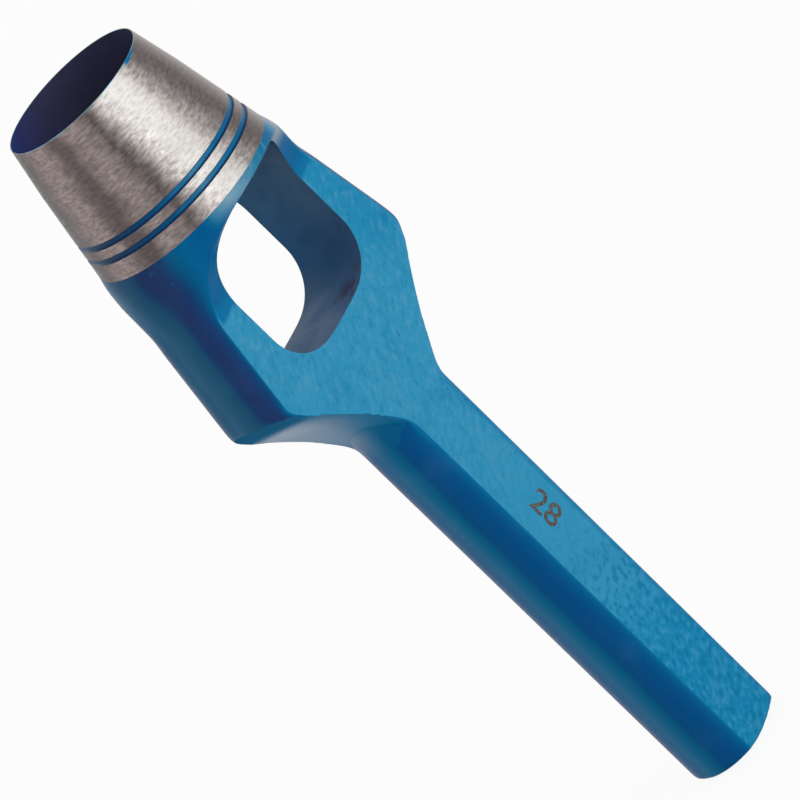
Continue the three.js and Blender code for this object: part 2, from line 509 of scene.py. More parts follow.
@dataclass(frozen=True)
class GroundSteel:
    """Bright steel, ground round the cone, with broad light and dark painted reflection bands and
    a fine grain.

    The bands are painted reflections of the lamps and the room, on top of the real lamp
    highlights. They are rows of a place in degrees, from -X through -Y to +X and back, a
    lightness and a share of the lighter tint, clean.
    """

    # The warmer and the cooler tint of the painted reflection bands, for their dark and their
    # light parts.
    dull: Colour = (1.0, 0.905, 0.89)
    clean: Colour = (1.0, 0.985, 0.965)
    worn: Colour = srgb(80, 72, 70)
    paint: Colour = srgb(0, 104, 150)
    lip: Colour = srgb(78, 136, 148)
    roughness: float = 0.34
    # Painted reflection bands: place in degrees, lightness, and share of the cooler tint.
    bands: tuple[tuple[float, float, float], ...] = (
        (0, 134, 0), (8, 90, 0), (13, 76, 0), (18, 79, 0), (24, 118, 0), (30, 140, 0.1),
        (37, 128, 0.1), (44, 92, 0.1), (48, 120, 0.4), (52, 162, 0.6), (56, 185, 0.7),
        (60, 178, 0.9), (65, 154, 1), (72, 140, 1), (88, 145, 0.7), (94, 134, 0.6),
        (100, 110, 0.5), (106, 97, 0.3), (112, 102, 0.25), (120, 118, 0.25),
        (136, 146, 0.5), (155, 146, 0.5), (180, 116, 0.2), (215, 148, 0.6),
        (245, 112, 0.2), (275, 150, 0.5), (305, 120, 0.3), (326, 36, 0), (335, 78, 0),
        (344, 124, 0), (352, 143, 0), (360, 134, 0),
    )

    def build(self) -> Material:
        """Returns the steel as a material."""
        nodes = NodeTree("ground_steel_finish")
        turn = nodes.turn()
        # Painted reflection bands round the cone, with edges that wander a little.
        drift = nodes.times(nodes.minus(nodes.noise(210, 3, (1, 1, 1.6), 3.1), 0.5), 11.0)
        tone = nodes.ramp(nodes.plus(turn, drift), self.reflection_band_stops())
        dashes = nodes.noise(760, 3, (1, 1, 2.8), 7.7)
        specks = nodes.noise(1500, 2, (1, 1, 2.0), 1.3)
        tone = nodes.scaled(tone, nodes.spread(dashes, 0.72, 1.25))
        tone = nodes.blend(nodes.remap(specks, 0.58, 0.72, 0, 0.4), tone, self.worn)
        gloss = nodes.spread(dashes, self.roughness - 0.05, self.roughness + 0.08)
        relief = nodes.bump(specks, 0.00002, 0.4, nodes.bump(dashes, 0.00006, 0.5))
        return nodes.finish(self.paint_lip(nodes, tone, turn), gloss, relief, Metallic=1.0)

    def paint_lip(self, nodes: NodeTree, tone: Socket, turn: Socket) -> Socket:
        """Lays the lacquer that was left along the cutting lip: a thin line and a small patch.

        Args:
            nodes: The material.
            tone: The steel's colour, with its painted reflection bands.
            turn: Place round the cone in degrees.

        Returns:
            The steel's colour with the lacquer on it.
        """
        broken = nodes.remap(nodes.noise(320, seed=5.2), 0.4, 0.6, 0.25, 0.9)
        line = nodes.times(nodes.remap(nodes.z, 0.15933, 0.15943), broken)
        ragged = nodes.times(nodes.noise(700, seed=2.2), 0.0011)
        patch = nodes.times(
            nodes.remap(nodes.plus(nodes.z, ragged), 0.15945, 0.15962),
            nodes.remap(turn, 87.5, 92),
            nodes.remap(turn, 108, 102),
        )
        return nodes.blend(patch, nodes.blend(line, tone, self.lip), self.paint)

    def reflection_band_stops(self) -> Stops:
        """The painted reflection bands as colour stops."""
        rows = []
        for degrees, value, share in self.bands:
            shade = [value * mix(low, high, share) for low, high in zip(self.dull, self.clean)]
            rows.append((degrees, *shade))
        return stops(*rows)


@dataclass(frozen=True)
class Site:
    """Sockets that say which side of the forging a point is on.

    Attributes:
        nodes: The material.
        front: 1 on the front flat and ramp, -1 on the back ones, and between on the sides.
        on_flat: 1 on the flats and ramps, 0 off them.
        off_flat: 0 on the flats and ramps, 1 off them.
        downward: How far the surface is turned to the struck face.
    """

    nodes: NodeTree
    front: Socket
    on_flat: Socket
    off_flat: Socket
    downward: Socket

    @classmethod
    def read(cls, nodes: NodeTree) -> Site:
        """Reads the sockets off the surface normal of a material."""
        x, y, z = nodes.facing()
        squares = nodes.plus(nodes.math("POWER", x, 2.0), nodes.math("POWER", y, 2.0))
        level = nodes.math("MAXIMUM", nodes.math("SQRT", squares), 0.001)
        front = nodes.times(nodes.math("DIVIDE", y, level), -1.0)
        on_flat = nodes.remap(nodes.math("ABSOLUTE", front), 0.91, 0.965)
        return cls(nodes, front, on_flat, nodes.minus(1.0, on_flat), nodes.times(z, -1.0))


@dataclass(frozen=True)
class BlueLacquer:
    """Satin blue lacquer on forged steel: even on the flats, with deeper painted shade on the
    rounded sides.

    A side's painted shade and reflection run over how far it is turned to the front, -1 at the
    back to 1 at the front, and the rim's painted reflection bands over the place round the axis in
    degrees.
    """

    flat_upper: Colour = srgb(47, 140, 179)
    flat_lower: Colour = srgb(18, 127, 170)
    # Painted shade on the ramps, lighter at the foot and deeper towards the top.
    ramp_foot: Colour = srgb(2, 109, 157)
    ramp_top: Colour = srgb(0, 95, 144)
    # Painted light in the hollows under the shoulders, where faces turn down: a blue, a pale one,
    # and a deeper one by the shoulder tips.
    under: Colour = srgb(20, 112, 154)
    under_painted_light: Colour = srgb(168, 182, 198)
    under_tip: Colour = srgb(34, 98, 136)
    scratch: Colour = srgb(6, 96, 146)
    speck: Colour = srgb(4, 92, 140)
    # Painted shade and painted reflection on the bar's rounded sides, by how far a side is turned
    # to the front.
    bar_side: Stops = stops(
        (-0.8, 0, 50, 96), (-0.6, 0, 66, 114), (-0.34, 16, 90, 138), (-0.2, 34, 102, 146),
        (-0.09, 43, 111, 151), (0.05, 22, 106, 147), (0.17, 0, 99, 141), (0.22, 0, 96, 139),
        (0.3, 0, 78, 131), (0.5, 0, 77, 134), (0.64, 0, 81, 137), (0.74, 0, 95, 146),
        (0.8, 0, 105, 152),
    )
    # Painted shade and painted reflection on the legs' rounded sides, by the same measure.
    leg_side: Stops = stops(
        (-0.8, 0, 40, 86), (-0.6, 0, 64, 108), (-0.34, 6, 86, 126), (-0.2, 32, 94, 130),
        (-0.09, 49, 102, 138), (0.05, 42, 96, 130), (0.17, 32, 89, 120), (0.33, 24, 80, 116),
        (0.43, 25, 60, 106), (0.5, 29, 55, 101), (0.6, 30, 54, 102), (0.69, 25, 58, 108),
        (0.76, 12, 68, 116), (0.85, 0, 90, 137), (0.98, 0, 99, 149), (1.12, 0, 88, 144),
        (1.3, 0, 88, 144),
    )
    # Painted reflections of the lamps round the rim, by place round the axis in degrees.
    rim: Stops = stops(
        (45, 0, 90, 138), (50, 14, 104, 148), (55, 69, 134, 166), (65, 120, 158, 180),
        (75, 98, 144, 172), (85, 52, 124, 154), (95, 22, 114, 149), (104, 0, 98, 142),
        (115, 0, 100, 146), (123, 60, 128, 162), (133, 142, 154, 170), (160, 90, 130, 158),
        (185, 30, 70, 110), (215, 0, 100, 145), (250, 105, 148, 172), (280, 30, 110, 150),
        (310, 0, 95, 140), (345, 40, 75, 112),
    )
    roughness: float = 0.3
    shine: float = 0.045

    def build(self, name: str) -> Material:
        """Returns the lacquer as a material of this name."""
        nodes = NodeTree(name)
        site = Site.read(nodes)
        coat = nodes.blend(site.on_flat, self.side_shading(site), self.flat_colour(nodes))
        for lay in (self.lay_ramp_shade, self.lay_hollows, self.spread_hollow_light, self.lay_rim_reflections):
            coat = lay(site, coat)
        level_flat = nodes.times(site.on_flat, nodes.remap(site.downward, 0.12, 0.03))
        coat = self.weather(nodes, coat, level_flat)
        fine = nodes.noise(1900, seed=5.5)
        relief = self.relief(nodes, level_flat, fine)
        gloss = nodes.spread(fine, self.roughness - 0.05, self.roughness + 0.08)
        return nodes.finish(coat, gloss, relief, Metallic=0.0, Specular_IOR_Level=self.shine)

    def flat_colour(self, nodes: NodeTree) -> Socket:
        """The flats' colour, deeper at the struck end, on the +X leg and along the +X edge."""
        leg = nodes.times(
            nodes.remap(nodes.z, 0.096, 0.106, 0, 0.6), nodes.remap(nodes.x, 0.011, 0.017)
        )
        deep = nodes.math("MAXIMUM", nodes.remap(nodes.z, 0.042, 0.02), leg)
        edge = nodes.times(
            nodes.remap(nodes.x, 0.0046, 0.0057, 0, 0.7), nodes.remap(nodes.z, 0.085, 0.078)
        )
        tone = nodes.blend(deep, self.flat_upper, self.flat_lower)
        return nodes.blend(edge, tone, self.ramp_foot)

    def side_shading(self, site: Site) -> Socket:
        """The rounded sides' painted shade and reflection. The bar's deep band ends at a ragged
        line by the neck.
        """
        nodes, front = site.nodes, site.front
        ragged = nodes.times(nodes.noise(240, 3, (1, 1, 0.3), 5.9), 0.0024)
        slant = nodes.times(nodes.math("MAXIMUM", front, 0.4), 0.014)
        line = nodes.minus(nodes.plus(nodes.z, ragged), slant)
        sway = nodes.times(nodes.minus(nodes.noise(150, 3, (1, 1, 0.25), 7.1), 0.5), 0.14)
        bar = nodes.blend(
            nodes.remap(line, 0.0760, 0.0768),
            nodes.ramp(nodes.plus(front, sway), self.bar_side),
            nodes.ramp(nodes.math("MINIMUM", front, 0.24), self.bar_side),
        )
        to_rim = nodes.remap(nodes.z, FORGING.metres(39), FORGING.metres(26.5), 0, 0.46)
        leg = nodes.ramp(nodes.plus(front, to_rim), self.leg_side)
        return nodes.blend(nodes.remap(nodes.z, 0.088, 0.097), bar, leg)

    def lay_ramp_shade(self, site: Site, coat: Socket) -> Socket:
        """Lays painted shade over the colour so far on the ramps in front of the flats, deeper as
        a ramp turns further.
        """
        nodes = site.nodes
        tone = nodes.blend(nodes.remap(site.downward, 0.12, 0.3), self.ramp_foot, self.ramp_top)
        share = nodes.times(
            site.on_flat, nodes.remap(site.downward, 0.015, 0.09), nodes.remap(nodes.z, 0.1, 0.11)
        )
        return nodes.blend(share, coat, tone)

    def lay_hollows(self, site: Site, coat: Socket) -> Socket:
        """Lays painted light over the colour so far in the hollow under each shoulder, paler
        towards the back.
        """
        nodes = site.nodes
        across = nodes.math("ABSOLUTE", nodes.x)
        pale = nodes.times(
            nodes.remap(across, 0.007, 0.0185),
            nodes.remap(across, 0.0228, 0.0192),
            nodes.remap(nodes.y, -0.0085, 0.002, 0.1, 1),
        )
        tone = nodes.blend(pale, self.under, self.under_painted_light)
        tone = nodes.blend(nodes.remap(across, 0.019, 0.0242), tone, self.under_tip)
        here = nodes.times(
            nodes.remap(nodes.z, 0.07, 0.08),
            nodes.remap(site.downward, 0.3, 0.6),
            nodes.remap(nodes.z, 0.112, 0.106),
            site.off_flat,
        )
        return nodes.blend(here, coat, tone)

    def spread_hollow_light(self, site: Site, coat: Socket) -> Socket:
        """Lets the hollow's painted light run out towards the bar."""
        nodes = site.nodes
        share = nodes.times(
            nodes.remap(nodes.z, 0.079, 0.0865),
            nodes.remap(nodes.math("ABSOLUTE", nodes.x), 0.0165, 0.012),
            nodes.remap(nodes.y, -0.003, 0.005, 0, 0.5),
            site.off_flat,
            nodes.remap(nodes.z, 0.1, 0.094),
        )
        return nodes.blend(share, coat, self.under_painted_light)

    def lay_rim_reflections(self, site: Site, coat: Socket) -> Socket:
        """Lays painted reflection bands, light and deep, round the rim next to the crown."""
        nodes = site.nodes
        turn = nodes.turn()
        lowered = nodes.remap(nodes.x, 0.0, -0.008, 0, 0.0036)
        share = nodes.times(
            nodes.remap(
                nodes.minus(nodes.z, lowered), FORGING.metres(32.4), FORGING.metres(29.4)
            ),
            nodes.remap(turn, 42, 50),
            nodes.remap(turn, 350, 342),
        )
        return nodes.blend(share, coat, nodes.ramp(turn, self.rim))

    def weather(self, nodes: NodeTree, coat: Socket, on_flat: Socket) -> Socket:
        """Lays clouds, mottling, streaks and scratches over the lacquer's colour.

        Args:
            nodes: The material.
            coat: The clean colour.
            on_flat: 1 on the level flats.

        Returns:
            The colour with its small faults.
        """
        most = nodes.remap(on_flat, 0, 1, 0.4, 1)
        low = nodes.times(on_flat, nodes.remap(nodes.z, 0.05, 0.034, 0.25, 1))
        high = nodes.times(on_flat, nodes.remap(nodes.z, 0.04, 0.085))
        cloud = nodes.noise(130, 3, seed=4.2)
        drops = self.drops(nodes)
        streaks = nodes.noise(1000, 2, (1, 1, 0.5), 1.7, turned=-45)
        for place, pattern, faint, full, share, colour in (
            (most, cloud, 0.5, 0.72, 0.12, (88, 152, 188)),
            (most, cloud, 0.48, 0.28, 0.16, (0, 88, 140)),
            (low, drops, 0.52, 0.64, 0.6, (56, 142, 188)),
            (low, drops, 0.47, 0.36, 0.7, (4, 112, 154)),
            (high, streaks, 0.52, 0.68, 0.36, (88, 152, 186)),
            (high, streaks, 0.44, 0.3, 0.45, (16, 114, 160)),
        ):
            mark = nodes.times(place, nodes.remap(pattern, faint, full, 0, share))
            coat = nodes.blend(mark, coat, srgb(*colour))
        coat = nodes.blend(nodes.times(high, self.scratches(nodes)), coat, self.scratch)
        specks = nodes.remap(nodes.noise(900, seed=2.9), 0.66, 0.74, 0, 0.4)
        return nodes.blend(specks, coat, self.speck)

    def drops(self, nodes: NodeTree) -> Socket:
        """The run of small drops in which the lacquer has dried, drawn out aslant."""
        return nodes.noise(980, 1.5, (1, 1, 0.75), 9.4, turned=-45)

    def scratches(self, nodes: NodeTree) -> Socket:
        """Sparse fine scratches along the tool's length."""
        lines = nodes.noise(1150, 2, (1, 0.3, 0.09), 2.6, turned=4)
        sparse = nodes.remap(nodes.noise(110, 2, (1, 1, 0.6), 3.3), 0.5, 0.64)
        return nodes.times(nodes.remap(lines, 0.6, 0.7, 0, 0.55), sparse)

    def relief(self, nodes: NodeTree, on_flat: Socket, fine: Socket) -> Socket:
        """The lacquer's drops, scratches and orange peel as a normal.

        Args:
            nodes: The material.
            on_flat: 1 on the level flats.
            fine: The orange peel's pattern.

        Returns:
            The normal.
        """
        drops = nodes.times(
            self.drops(nodes),
            nodes.remap(nodes.z, 0.05, 0.034, 0.3, 1),
            nodes.remap(on_flat, 0, 1, 0.04, 1),
        )
        marks = nodes.minus(1.0, nodes.times(on_flat, self.scratches(nodes)))
        relief = nodes.bump(marks, 0.0001, 0.6, nodes.bump(drops, 0.00025, 0.7))
        return nodes.bump(fine, 0.000015, 0.3, relief)


@dataclass(frozen=True)
class WindowCoat:
    """The dull slate blue coat of the bore behind the crown, seen through the window, with painted
    light on its bottom.
    """

    by_depth: Stops = stops(
        (26, 40, 70, 104), (30, 52, 90, 126), (35, 66, 106, 140), (43, 56, 100, 136),
        (50, 46, 90, 130), (58, 44, 86, 126),
    )
    # Painted light: the paler bottom of the bore.
    bottom: Colour = srgb(78, 104, 124)
    shade: Colour = srgb(40, 42, 82)

    def build(self) -> Material:
        """Returns the coat as a material."""
        nodes = NodeTree("window_coat_finish")
        depth = nodes.minus(FORGING.length, nodes.times(nodes.z, 1 / TO_METRES))
        # Painted light where the bottom faces up, towards the back.
        pale = nodes.times(
            nodes.remap(nodes.y, 0.0, 0.011), nodes.remap(nodes.facing()[2], 0.4, 0.85)
        )
        colour = nodes.blend(pale, nodes.ramp(depth, self.by_depth), self.bottom)
        cloud = nodes.noise(230, 3, seed=6.6)
        colour = nodes.blend(nodes.remap(cloud, 0.52, 0.72, 0, 0.22), colour, self.shade)
        return nodes.finish(
            nodes.blend(self.streaks(nodes), colour, self.shade),
            nodes.spread(cloud, 0.45, 0.6),
            nodes.bump(cloud, 0.0001, 0.3),
            Metallic=0.0,
            Specular_IOR_Level=0.1,
        )

    def streaks(self, nodes: NodeTree) -> Socket:
        """A few dark streaks on the bottom, that run in from the front edge on the +X side."""
        lines = nodes.noise(800, 2, (0.4, 1.4, 1), 4.4)
        return nodes.times(
            nodes.remap(nodes.x, 0.004, 0.0055),
            nodes.remap(nodes.x, 0.0105, 0.009),
            nodes.remap(nodes.y, 0.0, -0.003),
            nodes.remap(nodes.z, 0.105, 0.1035),
            nodes.remap(lines, 0.46, 0.53, 0, 0.95),
        )


@dataclass(frozen=True)
class BoreLining:
    """The coat inside the crown, darkened as painted shade where light hardly reaches, with
    painted light on the -X side towards the mouth.
    """

    # Painted shade: the lining's dark base.
    colour: Colour = srgb(58, 58, 86)
    # Painted light: a bluer tone on the -X side, strongest at the mouth.
    blue: Colour = srgb(46, 60, 124)
    rubbed: Colour = srgb(72, 76, 98)

    def build(self) -> Material:
        """Returns the lining as a material."""
        nodes = NodeTree("bore_lining_finish")
        cloud = nodes.noise(300, 3, seed=6.1)
        share = nodes.times(
            nodes.remap(nodes.x, 0.009, -0.011), nodes.remap(nodes.z, 0.144, 0.159, 0.1, 1)
        )
        colour = nodes.blend(share, self.colour, self.blue)
        return nodes.finish(
            nodes.blend(nodes.remap(cloud, 0.5, 0.72, 0, 0.15), colour, self.rubbed),
            nodes.spread(cloud, 0.5, 0.65),
            nodes.bump(cloud, 0.0001, 0.3),
            Metallic=0.0,
            Specular_IOR_Level=0.1,
        )


@dataclass(frozen=True)
class GrooveLacquer:
    """Blue lacquer left in the crown's two grooves, with painted shade on their walls and painted
    reflection bands along their floor by degrees.
    """

    # Painted shade: the dark walls of the grooves.
    wall: Colour = srgb(12, 54, 96)
    # Painted reflection bands along the groove floors, by place round the axis in degrees.
    floor: Stops = stops(
        (0, 30, 68, 104), (20, 12, 74, 122), (40, 8, 92, 142), (52, 30, 116, 160),
        (62, 64, 132, 168), (74, 30, 118, 160), (85, 10, 108, 156), (105, 2, 98, 146),
        (122, 44, 122, 160), (140, 70, 130, 162), (180, 20, 74, 116), (230, 8, 100, 150),
        (270, 50, 120, 158), (310, 6, 90, 140), (345, 52, 80, 104), (360, 30, 68, 104),
    )

    def build(self) -> Material:
        """Returns the groove's lacquer as a material."""
        nodes = NodeTree("groove_lacquer_finish")
        cloud = nodes.noise(400, seed=8.8)
        upright = nodes.math("ABSOLUTE", nodes.facing()[2])
        share = nodes.times(nodes.remap(upright, 0.4, 0.85, 1, 0), nodes.spread(cloud, 0.75, 1))
        return nodes.finish(
            nodes.blend(share, self.wall, nodes.ramp(nodes.turn(), self.floor)),
            nodes.spread(cloud, 0.3, 0.42),
            nodes.bump(cloud, 0.00005, 0.3),
            Metallic=0.0,
            Specular_IOR_Level=0.06,
        )


@dataclass(frozen=True)
class DarkInk:
    """The dull grey brown of a mark that is etched through the lacquer."""

    colour: Colour = srgb(62, 60, 56)
    faded: Colour = srgb(104, 104, 98)

    def build(self) -> Material:
        """Returns the mark's finish as a material."""
        nodes = NodeTree("dark_mark_finish")
        cloud = nodes.noise(2200, seed=1.9)
        return nodes.finish(
            nodes.blend(nodes.remap(cloud, 0.42, 0.66, 0, 0.8), self.colour, self.faded),
            nodes.spread(cloud, 0.5, 0.7),
            nodes.bump(cloud, 0.00003, 0.4),
            Metallic=0.0,
            Specular_IOR_Level=0.3,
        )


@dataclass
class SizeMark:
    """The nominal size in plain numerals on the front flat."""

    text: str = "28"
    tall: float = 6.4
    proud: float = 0.03
    bold: float = 0.04
    middle: Station = (0.4, 54.0)

    def build(self) -> Piece:
        """Returns the numerals, read from the arch towards the struck face."""
        deselect_all()
        bpy.ops.object.text_add()
        letters = bpy.context.object.data
        letters.body = self.text
        letters.size = self.tall
        letters.extrude = self.proud
        letters.offset = self.bold
        letters.align_x = "CENTER"
        letters.align_y = "CENTER"
        bpy.ops.object.convert(target="MESH")
        piece = bpy.context.object
        start_editing(piece)
        weld()
        face_outwards()
        stop_editing()
        reading, upward = Vector((0, 0, -1)), Vector((1, 0, 0))
        turned = Matrix((reading, upward, reading.cross(upward))).transposed().to_4x4()
        across, height = self.middle
        piece.matrix_world = Matrix.Translation((across, -FORGING.half_blade, height)) @ turned
        name_piece(piece, "size_numerals")
        piece.data.materials.append(DarkInk().build())
        finish_mesh(piece, smooth_angle=30)
        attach(piece, "root")
        LOG.info("%s: %d faces", piece.name, len(piece.data.polygons))
        return piece


@dataclass
class CuttingCrown:
    """The ground cone with the cutting edge, its bore and two lacquered grooves."""

    sides: int = 192
    groove_width: float = 1.1
    groove_depth: float = 0.45
    groove_pitch: float = 2.7
    base_band: float = 3.22
    base_ring: float = 0.8
    lip_wear: float = 0.3
    worn_reach: float = 9.0
    cone_rings: tuple[float, ...] = (0.6, 2.0, 4.0, 6.5, 9.0, 14.0)
    bore_rings: tuple[float, ...] = (18.0, 10.0, 6.5, 3.0, 0.4, 0.0)
    groove_form: tuple[Station, ...] = (
        (0.0, 0.0), (0.035, 0.2), (0.09, 0.52), (0.18, 0.78), (0.32, 0.94), (0.5, 1.0),
        (0.68, 0.94), (0.82, 0.78), (0.91, 0.52), (0.965, 0.2), (1.0, 0.0),
    )

    def groove_starts(self) -> list[float]:
        """Depths at which the two grooves start."""
        rear = FORGING.crown_length - self.base_band - self.groove_width
        return [rear - self.groove_pitch, rear]

    def wear(self, depth: float) -> float:
        """How far the wall stands inside the true cone, as the edge has been honed."""
        return self.lip_wear * max(0.0, 1 - depth / self.worn_reach)

    def profile(self) -> list[Station]:
        """The ring's outline as radius and height, out along the cone and back up the bore."""
        outline: list[Station] = [(FORGING.cut_radius - self.wear(0.0), 0.0)]
        for depth in self.cone_rings:
            outline.append((FORGING.cone_radius(depth) - self.wear(depth), depth))
        for start in self.groove_starts():
            for along, deep in self.groove_form:
                depth = start + along * self.groove_width
                outline.append((FORGING.cone_radius(depth) - deep * self.groove_depth, depth))
        for depth in (FORGING.crown_length - self.base_ring, FORGING.crown_length):
            outline.append((FORGING.cone_radius(depth), depth))
        for depth in (FORGING.crown_length, *self.bore_rings):
            outline.append((FORGING.bore_radius(depth) - self.wear(depth), depth))
        outline.append(outline[0])
        return [(radius, FORGING.height(depth)) for radius, depth in outline]

    def build(self) -> Piece:
        """Returns the crown, with its three finishes on their faces."""
        piece = turn_profile("crown_shell", self.profile(), self.sides, hollow=True)
        starts = self.groove_starts()

        def in_groove(place: Vector, _: Vector) -> bool:
            depth = FORGING.depth(place)
            sunk = math.hypot(place.x, place.y) < FORGING.cone_radius(depth) - 0.03
            return sunk and any(s < depth < s + self.groove_width for s in starts)

        def in_bore(place: Vector, normal: Vector) -> bool:
            return place.x * normal.x + place.y * normal.y < -1

        finishes = GroundSteel().build(), GrooveLacquer().build(), BoreLining().build()
        lay_finishes(piece, finishes, in_groove, in_bore)
        finish_mesh(piece, smooth_angle=50)
        mount_piece(piece, "ground_steel", "cutting_crown")
        return piece


@dataclass
class LacqueredForging:
    """The bow with its rim, ramps, legs, shoulders and neck, and the bar that is held.

    Swells are rows of a depth and how far the +X and the other leg stand out there. Softenings
    are rows of a reach and how often the shoulders and the neck's end are smoothed in it. The
    neck's and the corners' limits say where on the body such smoothing may take hold.
    """

    blank_sides: int = 160
    blank_rings: int = 16
    leg_side_radius: float = 9.1
    side_blend: float = 0.85
    bar_sides: int = 96
    bar_radius: float = 9.6
    bar_neck_half_width: float = 9.35
    bar_end_half_width: float = 9.1
    bend_across: float = 0.25
    bend_along: float = 0.54
    bend_steps: int = 18
    cheek_outside: float = 34.0
    cheek_half_depth: float = 22.0
    dome_radius: float = 27.0
    struck_face_radius: float = 4.5
    dome_shift: Station = (-1.9, -0.4)
    ramp_tilt: float = math.radians(1.3)
    ramp_pivot: float = 12.0
    swells: tuple[tuple[float, float, float], ...] = (
        (22.0, 0.0, 0.0), (25.5, 0.0, 0.0), (27.3, 0.3, 0.3), (29.0, 0.45, 0.45),
        (31.0, 0.35, 0.6), (34.0, 0.0, 0.5), (38.9, -0.3, 0.1), (43.0, -0.3, 0.0),
        (60.0, 0.0, 0.0), (80.0, 0.0, 0.0),
    )
    voxel: float = 0.28
    overrun: float = 3.0
    below_face: float = 5.0
    neck_softening: int = 60
    neck_reach: Station = (-13.0, 1.0)
    neck_beyond: float = 7.0
    neck_half_thickness: float = 6.5
    corner_depths: Station = (46.0, 70.0)
    corner_beyond: float = 17.0
    corner_widths: Station = (1.4, 0.75)
    softenings: tuple[tuple[float, int, int], ...] = (
        (1.8, 24, 7), (2.5, 20, 7), (3.2, 14, 7), (4.0, 9, 5), (4.8, 6, 3),
    )

    def shoulder(self) -> Station:
        """Where the flat's edge stands at the shoulder, across and deep."""
        reach = math.sqrt(self.leg_side_radius**2 - FORGING.half_blade**2)
        half_width = FORGING.leg_half_width(FORGING.shoulder_depth)
        return half_width - self.leg_side_radius + reach, FORGING.shoulder_depth

    def neck_end(self) -> Station:
        """Where the flat's edge stands at the end of the neck, across and deep."""
        reach = math.sqrt(self.bar_radius**2 - FORGING.half_blade**2)
        return self.bar_neck_half_width - self.bar_radius + reach, FORGING.neck_end_depth

    def bend(self) -> Station:
        """The point, across and deep, towards which the neck's hollow curve bends."""
        (near, above), (far, below) = self.neck_end(), self.shoulder()
        return mix(near, far, self.bend_across), mix(below, above, self.bend_along)

    def slope(self) -> float:
        """How much deeper the neck's curve lies for each millimetre inwards at the shoulder."""
        (across, depth), (bend_across, bend_depth) = self.shoulder(), self.bend()
        return (bend_depth - depth) / (across - bend_across)

    def blank(self) -> Piece:
        """Draws the round rim out into two rounded legs, ring by ring.

        Returns:
            The blank, from a little above the lacquer line to the end of the neck.
        """
        depths = [FORGING.crown_length - self.overrun, FORGING.crown_length]
        for ring in range(self.blank_rings + 1):
            depths.append(mix(FORGING.ramp_start, FORGING.ramp_end, ring / self.blank_rings))
        depths.append(FORGING.neck_end_depth)
        radius = FORGING.cone_radius(depths[0])
        deselect_all()
        bpy.ops.mesh.primitive_circle_add(
            vertices=self.blank_sides,
            radius=radius,
            fill_type="NGON",
            location=(0, 0, FORGING.height(depths[0])),
            rotation=(0, 0, math.pi / self.blank_sides),
        )
        piece = name_piece(bpy.context.object, "forging_blank")
        start_editing(piece)
        centre = 0.0
        for above, depth in zip(depths, depths[1:]):
            extrude(0, 0, above - depth)
            along = (depth - FORGING.ramp_start) / FORGING.ramp_radius
            cone = FORGING.cone_radius(depth)
            half_width = mix(cone, FORGING.leg_half_width(depth), smooth_step(along))
            next_radius = mix(cone, self.leg_side_radius, smooth_step(along / self.side_blend))
            next_centre = half_width - next_radius
            for side in (1, -1):
                self.shape_half(
                    piece,
                    side,
                    depth,
                    (centre + self.swell(side, above), next_centre + self.swell(side, depth)),
                    next_radius / radius,
                )
            height = FORGING.height(depth)
            pick(
                piece, Element.FACE, lambda p, n: abs(p.z - height) < NEAR and abs(n.z) > 0.9
            )
            radius, centre = next_radius, next_centre
        face_outwards()
        stop_editing()
        return piece

    def swell(self, side: int, depth: float) -> float:
        """How far the leg of a side stands out at a depth, as no two legs come out alike."""
        column = 1 if side > 0 else 2
        for above, below in zip(self.swells, self.swells[1:]):
            if depth <= below[0]:
                share = (depth - above[0]) / (below[0] - above[0])
                return mix(above[column], below[column], share)
        return 0.0

    def shape_half(
        self, piece: Piece, side: int, depth: float, centres: Station, share: float
    ) -> None:
        """Scales one half of the newest ring about its own centre and sets it outwards.

        Args:
            piece: The blank, open in edit mode.
            side: 1 for the +X half, -1 for the other.
            depth: The ring's depth.
            centres: How far out the half's arc was centred, and is to be centred.
            share: The new arc radius over the old one.
        """
        height = FORGING.height(depth)
        centre, next_centre = centres

        def beyond(limit: float) -> Wanted:
            return lambda p, _: abs(p.z - height) < NEAR and side * (p.x - limit) > -limit

        pick(piece, Element.VERTEX, beyond(0.0))
        bpy.ops.transform.resize(
            value=(share, share, 1), center_override=(side * centre, 0, height)
        )
        pick(piece, Element.VERTEX, beyond(1e-6))
        bpy.ops.transform.translate(value=(side * (next_centre - centre), 0, 0))

    def cheek_path(self) -> list[Station]:
        """The line, across and deep, along which a shoulder and the neck are cut out."""
        start, bend, end = self.shoulder(), self.bend(), self.neck_end()
        across = self.cheek_outside - 0.5
        path = [(across, start[1] - self.slope() * (across - start[0]))]
        for step in range(self.bend_steps + 1):
            t = step / self.bend_steps
            pulls = ((1 - t) ** 2, start), (2 * t * (1 - t), bend), (t * t, end)
            path.append(tuple(sum(share * p[axis] for share, p in pulls) for axis in (0, 1)))
        path.append((end[0], end[1] + self.overrun))
        return path

